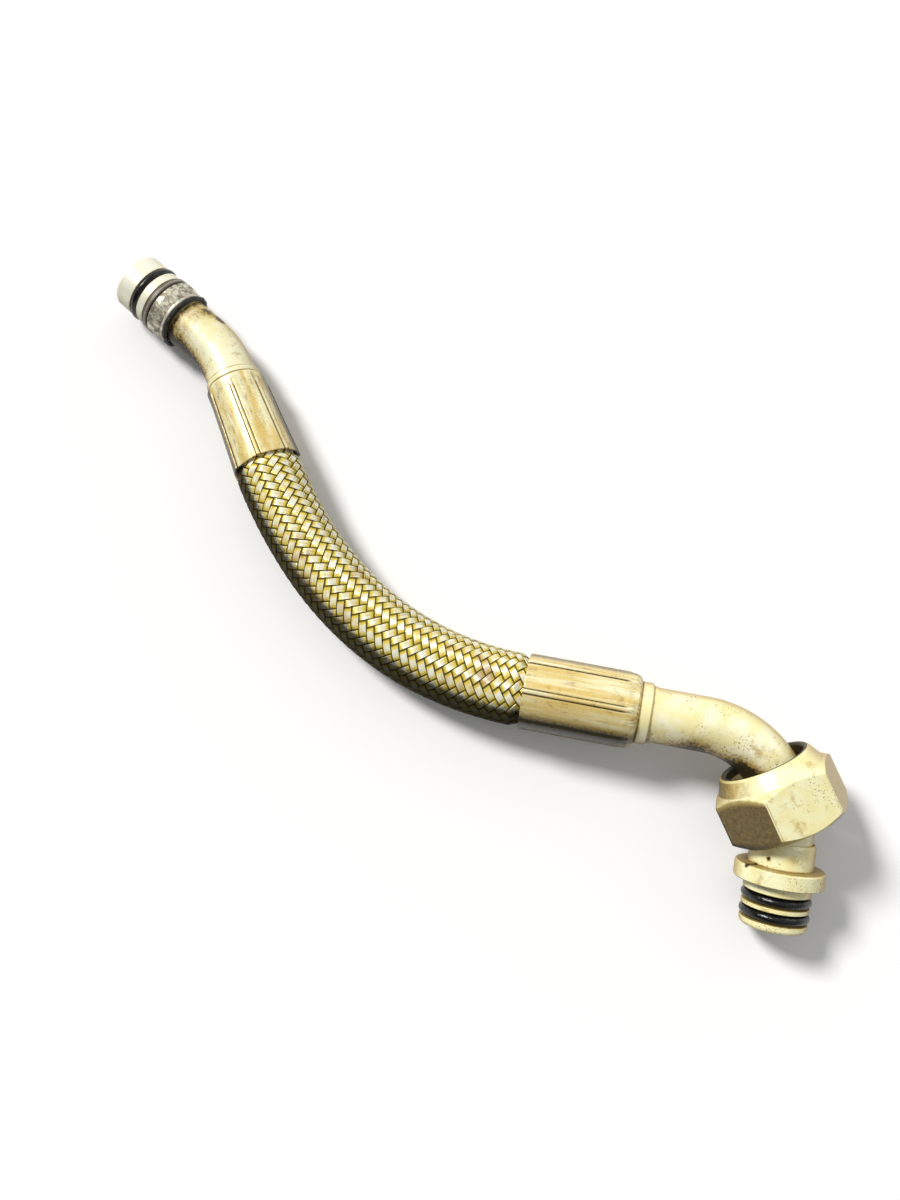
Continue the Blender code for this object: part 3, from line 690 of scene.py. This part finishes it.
# Both crimps, with stations measured from the mouth where the hose comes out
# The ferrules' flanks are painted shade along their sides.
crimps = {
    "dies": 7, "sides": 7 * 44, "ridge": 0.30, "ridgeHalf": 1.9, "ridgeFoot": 3.7, "groove": 0.10, "flat": 0.24,
    "freeEnd": 1.2, "runOut": 2.6, "closeGap": 0.35, "wideGap": 2.5, "lineDirtAndShade": 0.75,
    "upper": {"length": 27.3, "phase": -4.0, "place": upperCrimp, "node": "upper_ferrule", "look": upperCrimpSteel,
              "outer": [(0.0, 10.0), (3.0, 9.8), (13.5, 9.3), (24.0, 8.9), (26.6, 8.75), (27.3, 8.35)],
              "inner": [(26.9, 7.0), (23.4, 7.0), (23.0, 7.8), (13.5, 8.2), (3.0, 8.5), (1.0, 8.9), (0.0, 9.25)],
              "dirtAndShade": {"every": 0.0, "shadeFacing": 0.5, "power": 2.2, "bends": [(27.4, 0.3, 0.6)],
                       "flanks": [(82, 19, 0.75), (-68, 16, 0.65)]},
              "tail": {"collar": 8.15, "width": 2.0, "hoseIn": 22.5,
                       "dirtAndShade": {"every": 0.0, "shadeFacing": 0.3, "power": 2.5,
                                "bends": [(27.5, 0.25, 0.5), (29.5, 0.12, 0.45)]}}},
    "lower": {"length": 31.0, "phase": 8.0, "place": lowerCrimp, "node": "lower_ferrule", "look": lowerCrimpSteel,
              "outer": [(0.0, 10.45), (2.0, 10.5), (14.0, 10.5), (27.5, 10.45), (29.2, 10.2), (30.4, 9.6), (31.0, 8.7)],
              "inner": [(30.8, 7.0), (26.4, 7.0), (26.0, 8.9), (14.0, 8.9), (3.0, 8.9), (1.0, 9.4), (0.0, 9.75)],
              "dirtAndShade": {"every": 0.0, "shadeFacing": 0.9, "power": 2.2, "bends": [(31.1, 0.2, 0.35)],
                       "flanks": [(-74, 17, 0.65), (60, 18, 0.6)]},
              "tail": {"collar": 8.45, "width": 3.2, "hoseIn": 25.5,
                       "dirtAndShade": {"every": 0.04, "shadeFacing": 0.35, "power": 2.2,
                                "bends": [(31.3, 0.2, 0.35), (34.3, 0.12, 0.5), (32.6, 0.08, 0.35)]}}},
}


def buildCrimp(key):
    s, c = crimps[key], crimps
    pitch = 360.0 / c["dies"]
    outer = s["outer"]
    edge = [p[0] for p in outer], [p[1] for p in outer]

    def squeeze(station, radius, angles):
        radii = np.full(len(angles), float(radius))
        if radius < np.interp(station, *edge) - 0.25:
            return radii
        off = np.abs((np.degrees(angles) - s["phase"] + pitch / 2) % pitch - pitch / 2)
        grip = min(max((s["length"] - c["freeEnd"] - station) / c["runOut"], 0.0), 1.0)
        flat = -c["flat"] * (1 - (1 - off / (pitch / 2)) ** 2)
        top = np.clip((c["ridgeFoot"] - off) / (c["ridgeFoot"] - c["ridgeHalf"]), 0, 1)
        ridge = c["ridge"] * top * top * (3 - 2 * top)
        groove = -c["groove"] * np.exp(-((off - c["ridgeFoot"] - 0.7) / 0.9) ** 2)
        return radii + (flat + ridge + groove) * grip

    soft = rounded(outer + s["inner"], 0.18, 3)
    rows = []
    for k, point in enumerate(soft):
        after = soft[(k + 1) % len(soft)]
        rows.append(point)
        gap = abs(after[0] - point[0])
        pressed = point[1] > np.interp(point[0], *edge) - 0.25
        fine = c["closeGap"] if pressed else c["wideGap"]  # close rows only where the dies pressed
        if gap > fine * 1.3:
            count = int(gap / fine)
            rows += [between(point, after, i / count) for i in range(1, count)]
    piece, stations, turns = skin(key + "CrimpFerrule", ringRows(s["place"], rows), c["sides"], s["look"], squeeze)
    soilAndShade(piece, stations, turns, **s["dirtAndShade"])
    grimeAndShade = np.zeros(len(stations), np.float32)
    piece.data.attributes["grimeAndShade"].data.foreach_get("value", grimeAndShade)
    # dirt with painted shade in the creases beside each die line
    off = np.abs((turns - s["phase"] + pitch / 2) % pitch - pitch / 2)
    besideLines = np.exp(-((off - c["ridgeFoot"] - 0.3) / 1.3) ** 2)
    grimeAndShade += c["lineDirtAndShade"] * besideLines * np.clip((s["length"] - 2.5 - stations) / 2, 0, 1)
    mark(piece, "grimeAndShade", np.clip(grimeAndShade, 0, 1.2))
    settle(piece, assembly, s["node"])

    t, end = s["tail"], s["length"]
    start, stop = 3.0, t["hoseIn"] - 4.0
    step = (stop - start) / 3
    barbs = []
    for k in range(3):
        barbs += [(start + step * k, 5.0), (start + step * (k + 0.86), 5.32), (start + step * (k + 0.9), 5.0)]
    profile = [(1.0, 4.6), (1.8, 5.0)] + barbs + [
        (t["hoseIn"] - 0.2, 5.0), (t["hoseIn"] + 0.3, 5.3), (t["hoseIn"] + 0.3, 6.7), (end + 0.05, 6.7),
        (end + 0.05, t["collar"] - 0.3),
        (end + 0.35, t["collar"]), (end + t["width"] - 0.3, t["collar"]), (end + t["width"], t["collar"] - 0.25),
        (end + t["width"], 7.8), (end + 0.8, 7.8), (end + 0.8, 4.9), (end - 1.0, 4.2), (1.0, 4.2)]
    turnPiece(key + "TailCollar", s["place"], profile, 0.1, 112, plating, key + "_hose_tail", t["dirtAndShade"])
    print(key, "crimp pressed")


buildCrimp("upper")
buildCrimp("lower")

hose = {
    "upperRadius": 9.7, "lowerRadius": 10.1, "insideUpper": 22.5, "insideLower": 25.5, "coreDrop": 0.62,
    "coreBore": 5.6,
    "upperSqueeze": 8.6, "lowerSqueeze": 9.05, "growFrom": 25.0, "growOver": 45.0, "lip": 2.8, "diameter": 0.0196,
}
braid = {
    "Carriers": 18, "Wires": 6, "Samples": 205, "Lead": 48.6, "Fill": 0.86, "Wire Radius": 0.205, "Weave Height": 0.24,
    "Wobble": 0.03, "Seed": 7, "inFerrule": 1.6, "routeStep": 0.8, "underRadius": 0.36,
}


def hoseRadius(s):
    if s <= 0 or s >= freeLength:
        return hose["upperSqueeze"] if s <= 0 else hose["lowerSqueeze"]
    swell = min(max((s - hose["growFrom"]) / hose["growOver"], 0.0), 1.0)
    full = hose["upperRadius"] + (hose["lowerRadius"] - hose["upperRadius"]) * swell
    near, lip = (s, hose["upperSqueeze"]) if s < freeLength / 2 else (freeLength - s, hose["lowerSqueeze"])
    ease = min(near / hose["lip"], 1.0)
    return lip + (full - lip) * ease * ease * (3 - 2 * ease)


def buildCore():
    held = list(np.arange(-20.0, 0.0, 4.0)), list(np.arange(freeLength, freeLength + 24.0, 4.0))
    free = list(np.arange(0.0, freeLength, 0.9))
    places = [-hose["insideUpper"], *held[0], *free, *held[1], freeLength + hose["insideLower"]]
    rows = []
    for s in places:
        along = (hosePoint(s + 0.3) - hosePoint(s - 0.3)).normalized()
        up = upright(along)
        inFerrule = s < 0 or s > freeLength
        r = hoseRadius(s) - (0.6 if inFerrule else hose["coreDrop"])
        rows.append((hosePoint(s), up, along.cross(up), r, s))
    inside = [(p, x, y, hose["coreBore"], s) for p, x, y, r, s in reversed(rows)]
    piece = skin("hoseCore", rows + inside, 64, coreRubber)[0]
    settle(soilAndShade(piece), assembly, "hose_liner")
    return piece, [tuple(hosePoint(s)) for s in places]


def openTree(name, inputs):  # a geometry tree with named inputs
    tree = bpy.data.node_groups.new(name, "GeometryNodeTree")
    face = tree.interface
    face.new_socket("Geometry", in_out="INPUT", socket_type="NodeSocketGeometry")
    for label, kind in inputs.items():
        face.new_socket(label, in_out="INPUT", socket_type="NodeSocket" + kind)
    face.new_socket("Geometry", in_out="OUTPUT", socket_type="NodeSocketGeometry")
    return tree, addNode(tree, "NodeGroupInput").outputs


def closeTree(tree, made, finish):
    made = addNode(tree, "GeometryNodeRealizeInstances", {0: made}).outputs[0]
    made = addNode(tree, "GeometryNodeSetMaterial", {"Geometry": made, "Material": finish}).outputs[0]
    tree.links.new(made, addNode(tree, "NodeGroupOutput").inputs[0])
    return tree


def store(tree, points, name, value, kind="FLOAT"):
    sockets = {0: points, "Name": name, "Value": value}
    return addNode(tree, "GeometryNodeStoreNamedAttribute", sockets, data_type=kind, domain="POINT").outputs[0]


def recall(tree, name, kind="FLOAT"):
    return addNode(tree, "GeometryNodeInputNamedAttribute", {"Name": name}, data_type=kind).outputs[0]


def pairUp(tree, operation, a, b):
    return addNode(tree, "ShaderNodeVectorMath", {0: a, 1: b}, operation=operation).outputs[0]


def stretched(tree, vector, size):
    return addNode(tree, "ShaderNodeVectorMath", {0: vector, "Scale": size}, operation="SCALE").outputs[0]


def dot(tree, a, b):
    return addNode(tree, "ShaderNodeVectorMath", {0: a, 1: b}, operation="DOT_PRODUCT").outputs["Value"]


def swept(tree, path, corners, radius, turn):
    section = addNode(tree, "GeometryNodeCurvePrimitiveCircle", {"Resolution": corners, "Radius": radius}).outputs[0]
    turned = {"Geometry": section, "Rotation": (0.0, 0.0, turn)}
    section = addNode(tree, "GeometryNodeTransform", turned).outputs[0]
    sweep = {"Curve": path, "Profile Curve": section, "Fill Caps": True}
    return addNode(tree, "GeometryNodeCurveToMesh", sweep).outputs[0]


def braidTree():
    tree, given = openTree("wovenSleeve", {
        "Carriers": "Int", "Wires": "Int", "Samples": "Int", "Lead": "Float", "Direction": "Float", "Fill": "Float",
        "Wire Radius": "Float", "Weave Height": "Float", "Wobble": "Float", "Seed": "Int", "Finish": "Material"})
    route = addNode(tree, "GeometryNodeMeshToCurve", {0: given["Geometry"]}).outputs[0]
    route = addNode(tree, "GeometryNodeSetCurveNormal", {0: route}, mode="Z_UP").outputs[0]
    length = addNode(tree, "GeometryNodeCurveLength", {0: route}).outputs[0]
    total = times(tree, given["Carriers"], given["Wires"])
    starts = addNode(tree, "GeometryNodePoints", {"Count": total}).outputs[0]
    index = addNode(tree, "GeometryNodeInputIndex").outputs[0]
    starts = store(tree, starts, "strand", index)
    line = addNode(tree, "GeometryNodeCurvePrimitiveLine").outputs[0]
    line = addNode(tree, "GeometryNodeResampleCurve", {"Curve": line, "Count": given["Samples"]}).outputs[0]
    strands = addNode(tree, "GeometryNodeInstanceOnPoints", {"Points": starts, "Instance": line}).outputs[0]
    strands = addNode(tree, "GeometryNodeRealizeInstances", {0: strands}).outputs[0]
    strand = recall(tree, "strand")
    along = times(tree, addNode(tree, "GeometryNodeSplineParameter").outputs["Factor"], length)
    carrier = calc(tree, "FLOOR", calc(tree, "DIVIDE", plus(tree, strand, 0.5), given["Wires"]))
    wire = calc(tree, "SUBTRACT", strand, times(tree, carrier, given["Wires"]))
    across = calc(tree, "SUBTRACT", calc(tree, "DIVIDE", plus(tree, wire, 0.5), given["Wires"]), 0.5)
    sector = calc(tree, "DIVIDE", 2 * math.pi, given["Carriers"])
    rise = times(tree, given["Direction"], calc(tree, "DIVIDE", times(tree, along, 2 * math.pi), given["Lead"]))
    chance = {2: -1.0, 3: 1.0, "ID": strand, "Seed": given["Seed"]}
    jitter = addNode(tree, "FunctionNodeRandomValue", chance, data_type="FLOAT").outputs[1]
    angle = plus(tree, rise, times(tree, sector, plus(tree, carrier, times(tree, across, given["Fill"]))))
    crossing = calc(tree, "DIVIDE", plus(tree, angle, rise), sector)
    # two over and two under, with the tops a little flattened
    swing = calc(tree, "COSINE", times(tree, math.pi / 2, calc(tree, "SUBTRACT", plus(tree, carrier, crossing), 0.5)))
    swing = times(tree, swing, given["Direction"])
    swing = calc(tree, "MAXIMUM", -1.0, calc(tree, "MINIMUM", 1.0, times(tree, swing, 1.08)))
    at = {"Curves": route, "Value": recall(tree, "hoseRadius"), "Length": along}
    sample = addNode(tree, "GeometryNodeSampleCurve", at, mode="LENGTH", data_type="FLOAT").outputs
    sideways = pairUp(tree, "CROSS_PRODUCT", sample["Normal"], sample["Tangent"])
    weave = plus(tree, times(tree, swing, given["Weave Height"]), times(tree, jitter, given["Wobble"]))
    left = stretched(tree, sample["Normal"], calc(tree, "COSINE", angle))
    outward = pairUp(tree, "ADD", left, stretched(tree, sideways, calc(tree, "SINE", angle)))
    place = pairUp(tree, "ADD", sample["Position"], stretched(tree, outward, plus(tree, sample["Value"], weave)))
    # values are stored before the points move, then read by the finish
    # painted shade on both flanks of the sleeve, set by which way each point faces
    shadeFacing = dot(tree, outward, shadedSide)
    flankShade = calc(tree, "MAXIMUM", ramp(tree, shadeFacing, 0.04, 0.62), ramp(tree, shadeFacing, -0.40, -0.90, 0.0, 0.42))
    strands = store(tree, strands, "grimeAndShade", flankShade)
    strands = store(tree, strands, "lift", calc(tree, "MULTIPLY_ADD", swing, 0.5, 0.5))
    strands = store(tree, strands, "tone", calc(tree, "MULTIPLY_ADD", jitter, 0.5, 0.5))
    strands = store(tree, strands, "outward", outward, "FLOAT_VECTOR")
    strands = addNode(tree, "GeometryNodeSetPosition", {"Geometry": strands, "Position": place}).outputs[0]
    facing = {0: strands, "Normal": recall(tree, "outward", "FLOAT_VECTOR")}
    strands = addNode(tree, "GeometryNodeSetCurveNormal", facing, mode="FREE").outputs[0]
    # a flat side of the wire faces out
    return closeTree(tree, swept(tree, strands, 4, given["Wire Radius"], math.pi / 4), given["Finish"])


def grown(name, base, tree, values):  # a node tree's result as a plain mesh
    modifier = base.modifiers.new("grow", "NODES")
    modifier.node_group = tree
    for item in tree.interface.items_tree:
        if item.item_type == "SOCKET" and item.in_out == "INPUT" and item.name in values:
            modifier[item.identifier] = values[item.name]
    bpy.context.view_layer.update()
    data = bpy.data.meshes.new_from_object(base.evaluated_get(bpy.context.evaluated_depsgraph_get()))
    base.modifiers.remove(modifier)
    old = base.data
    bpy.data.objects.remove(base, do_unlink=True)
    bpy.data.meshes.remove(old)
    data.name = name
    data.shade_smooth()
    return addObject(name, data)


def wireRoute(name):
    count = int((freeLength + 2 * braid["inFerrule"]) / braid["routeStep"])
    places = np.linspace(-braid["inFerrule"], freeLength + braid["inFerrule"], count)
    data = bpy.data.meshes.new(name)
    data.from_pydata([tuple(hosePoint(s)) for s in places], [(k, k + 1) for k in range(count - 1)], [])
    radii = data.attributes.new("hoseRadius", "FLOAT", "POINT")
    radii.data.foreach_set("value", [(hoseRadius(s) - braid["underRadius"]) * mm for s in places])
    return addObject(name, data)


def buildHose():
    core, path = buildCore()
    tree = braidTree()
    sizes = {**braid, "Finish": braidWire}
    for key in ("Lead", "Wire Radius", "Weave Height", "Wobble"):
        sizes[key] = braid[key] * mm
    right = grown("braidRightHand", wireRoute("rightRoute"), tree, {**sizes, "Direction": 1.0})
    left = grown("braidLeftHand", wireRoute("leftRoute"), tree, {**sizes, "Direction": -1.0, "Seed": braid["Seed"] + 4})
    for piece in (right, left):
        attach(piece, assembly)
        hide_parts("braid_sleeve")
        print(piece.name, len(piece.data.polygons), "faces")


buildHose()

nut = {
    "length": 18.6, "collar": 4.1, "rearChamfer": 2.5, "frontChamfer": 2.65, "acrossFlats": 30.0, "rearHole": 10.8,
    "rearWall": 2.6,
    "rearMouth": 12.1, "collarRadius": 14.5, "turnedRadius": 18.0, "frontRadius": 14.4, "frontMouth": 13.3,
    "undercut": 12.8,
    "crest": 12.3, "root": 12.95, "threadLength": 10.2, "pitch": 1.5, "steps": 180, "corner": 0.3, "longestEdge": 1.3,
    "boreShadeTo": 12.0, "boreShade": 0.95,
    "dirtAndShade": {"every": 0.05, "shadeFacing": 0.92, "shadeBelow": 0.15, "power": 1.0},
}


def threadTree():
    tree, given = openTree("threadRidge", {
        "Turns": "Float", "Radius": "Float", "Height": "Float", "Depth": "Float", "Finish": "Material"})
    helix = addNode(tree, "GeometryNodeCurveSpiral", {
        "Resolution": 72, "Rotations": given["Turns"], "Start Radius": given["Radius"], "End Radius": given["Radius"],
        "Height": given["Height"]}).outputs[0]
    helix = addNode(tree, "GeometryNodeSetCurveNormal", {0: helix}, mode="Z_UP").outputs[0]
    return closeTree(tree, swept(tree, helix, 3, given["Depth"], math.pi), given["Finish"])


def buildNut():
    s = nut
    back, end = s["collar"], s["length"]
    profile = [(0.0, s["rearMouth"]), (0.5, s["rearMouth"] + 0.5), (back, s["collarRadius"]),
               (back + s["rearChamfer"], s["turnedRadius"]), (end - s["frontChamfer"], s["turnedRadius"]),
               (end, s["frontRadius"]), (end, s["frontMouth"]), (end - 0.6, s["root"]),
               (end - s["threadLength"], s["root"]),
               (end - s["threadLength"] - 0.5, s["undercut"]), (s["rearWall"] + 0.8, s["undercut"]),
               (s["rearWall"], 12.0), (s["rearWall"], s["rearHole"]), (0.5, s["rearHole"]), (0.0, s["rearHole"] + 0.4)]
    blank = skin("unionNutBody", ringRows(here, rounded(profile, 0.2, 3)), s["steps"], nutPlating)[0]
    radius = s["acrossFlats"] / 2 / math.cos(math.radians(30)) * mm
    prism = bmesh.new()
    middle = Matrix.Translation((0, 0, end / 2 * mm)) @ Matrix.Rotation(math.radians(30), 4, "Z")
    bmesh.ops.create_cone(prism, cap_ends=True, segments=6, radius1=radius, radius2=radius, depth=(end + 6) * mm,
                          matrix=middle)
    flat = min(math.degrees(math.atan2(f.normal.y, f.normal.x)) % 60.0 for f in prism.faces if abs(f.normal.z) < 0.5)
    if 5.0 < flat < 55.0:  # one flat has to face straight down
        bmesh.ops.rotate(prism, verts=prism.verts, matrix=Matrix.Rotation(math.radians(30), 3, "Z"))
    edges = [e for e in prism.edges if abs((e.verts[0].co - e.verts[1].co).normalized().z) > 0.9]
    bmesh.ops.bevel(prism, geom=edges, offset=s["corner"] * mm, segments=3, affect="EDGES")
    data = bpy.data.meshes.new("hexagon")
    prism.to_mesh(data)
    prism.free()
    hexagon = addObject("hexagon", data)
    trim = blank.modifiers.new("flats", "BOOLEAN")
    trim.operation = "INTERSECT"
    trim.object = hexagon
    bpy.context.view_layer.update()
    made = bpy.data.meshes.new_from_object(blank.evaluated_get(bpy.context.evaluated_depsgraph_get()))
    bpy.data.objects.remove(blank, do_unlink=True)
    bpy.data.objects.remove(hexagon, do_unlink=True)
    work = bmesh.new()
    work.from_mesh(made)
    bmesh.ops.remove_doubles(work, verts=work.verts, dist=0.000002)
    bmesh.ops.triangulate(work, faces=[f for f in work.faces if len(f.verts) > 4])
    for _ in range(3):
        long = [e for e in work.edges if e.calc_length() > s["longestEdge"] * mm]
        if not long:
            break
        bmesh.ops.subdivide_edges(work, edges=long, cuts=1, use_grid_fill=True)
        bmesh.ops.triangulate(work, faces=[f for f in work.faces if len(f.verts) > 4])
    bmesh.ops.recalc_face_normals(work, faces=work.faces)
    work.to_mesh(made)
    work.free()
    made.transform(nutPlace)
    made.materials.clear()
    made.materials.append(nutPlating)
    piece = addObject("unionNutBody", made)
    made.shade_smooth()
    made.set_sharp_from_angle(angle=math.radians(24))
    # painted shade inside the bore and on the side away from the light
    settle(soilAndShade(piece, hollow=(nutPlace, s["boreShadeTo"], s["boreShade"]), **s["dirtAndShade"]), nutBody, "union_nut")

    base = addObject("threadBase", bpy.data.meshes.new("threadBase"))
    turnsIn = (s["threadLength"] - 1.4) / s["pitch"]
    depth = (s["root"] - s["crest"]) * 0.8
    thread = grown("unionNutThread", base, threadTree(), {
        "Turns": turnsIn, "Radius": (s["root"] - depth * 0.38) * mm, "Height": turnsIn * s["pitch"] * mm,
        "Depth": depth * mm, "Finish": platingDirty})
    thread.data.transform(nutPlace @ Matrix.Translation((0, 0, (end - s["threadLength"] + 0.5) * mm)))
    thread.data.set_sharp_from_angle(angle=math.radians(30))
    settle(soilAndShade(thread, every=0.35), nutBody, None)
    print("union nut cut", len(made.polygons), "faces")


buildNut()


def buildStage(settings):
    data = bpy.data.meshes.new("floor")
    data.from_pydata([(-3, -3, 0), (3, -3, 0), (3, 3, 0), (-3, 3, 0)], [], [(0, 1, 2, 3)])
    floor = addObject("floor", data)
    look, tree, shader = newFinish("paleFloor")
    level = settings["floor"]
    path = addNode(tree, "ShaderNodeLightPath").outputs
    mirrored = calc(tree, "MAXIMUM", path["Is Glossy Ray"], path["Is Transmission Ray"])
    seen = calc(tree, "MAXIMUM", path["Is Camera Ray"], mirrored)
    bounce = settings["floorBounce"]
    shown = layer(tree, seen, (bounce, bounce, bounce, 1), (level, level, level, 1))
    tree.links.new(shown, shader.inputs["Base Color"])
    shader.inputs["Roughness"].default_value = 0.9
    shader.inputs["Specular IOR Level"].default_value = 0.1
    data.materials.append(look)
    for name in ("key", "side"):
        s = settings[name]
        lamp = bpy.data.lights.new(name + "Light", "SUN")
        lamp.energy = s["strength"]
        lamp.angle = math.radians(s["softness"])
        lamp.color = s["colour"]
        lamp.use_shadow = name == "key"
        holder = addObject(name + "Light", lamp)
        holder.rotation_euler = Vector(s["from"]).normalized().to_track_quat("Z", "Y").to_euler()
    world = bpy.context.scene.world or bpy.data.worlds.new("studio")
    bpy.context.scene.world = world
    world.use_nodes = True
    tree = world.node_tree
    sky = addNode(tree, "ShaderNodeTexCoord").outputs["Generated"]
    toBright = dot(tree, sky, Vector(settings["skyFrom"]).normalized())
    level = ramp(tree, toBright, -0.7, 0.8, settings["skyDim"], settings["skyBright"])
    # the sky is seen white, but lights the hose softly
    behind = addNode(tree, "ShaderNodeLightPath").outputs["Is Camera Ray"]
    tree.links.new(layer(tree, behind, level, (1, 1, 1, 1)), tree.nodes["Background"].inputs["Color"])
    print("stage lit")


buildStage(lighting)
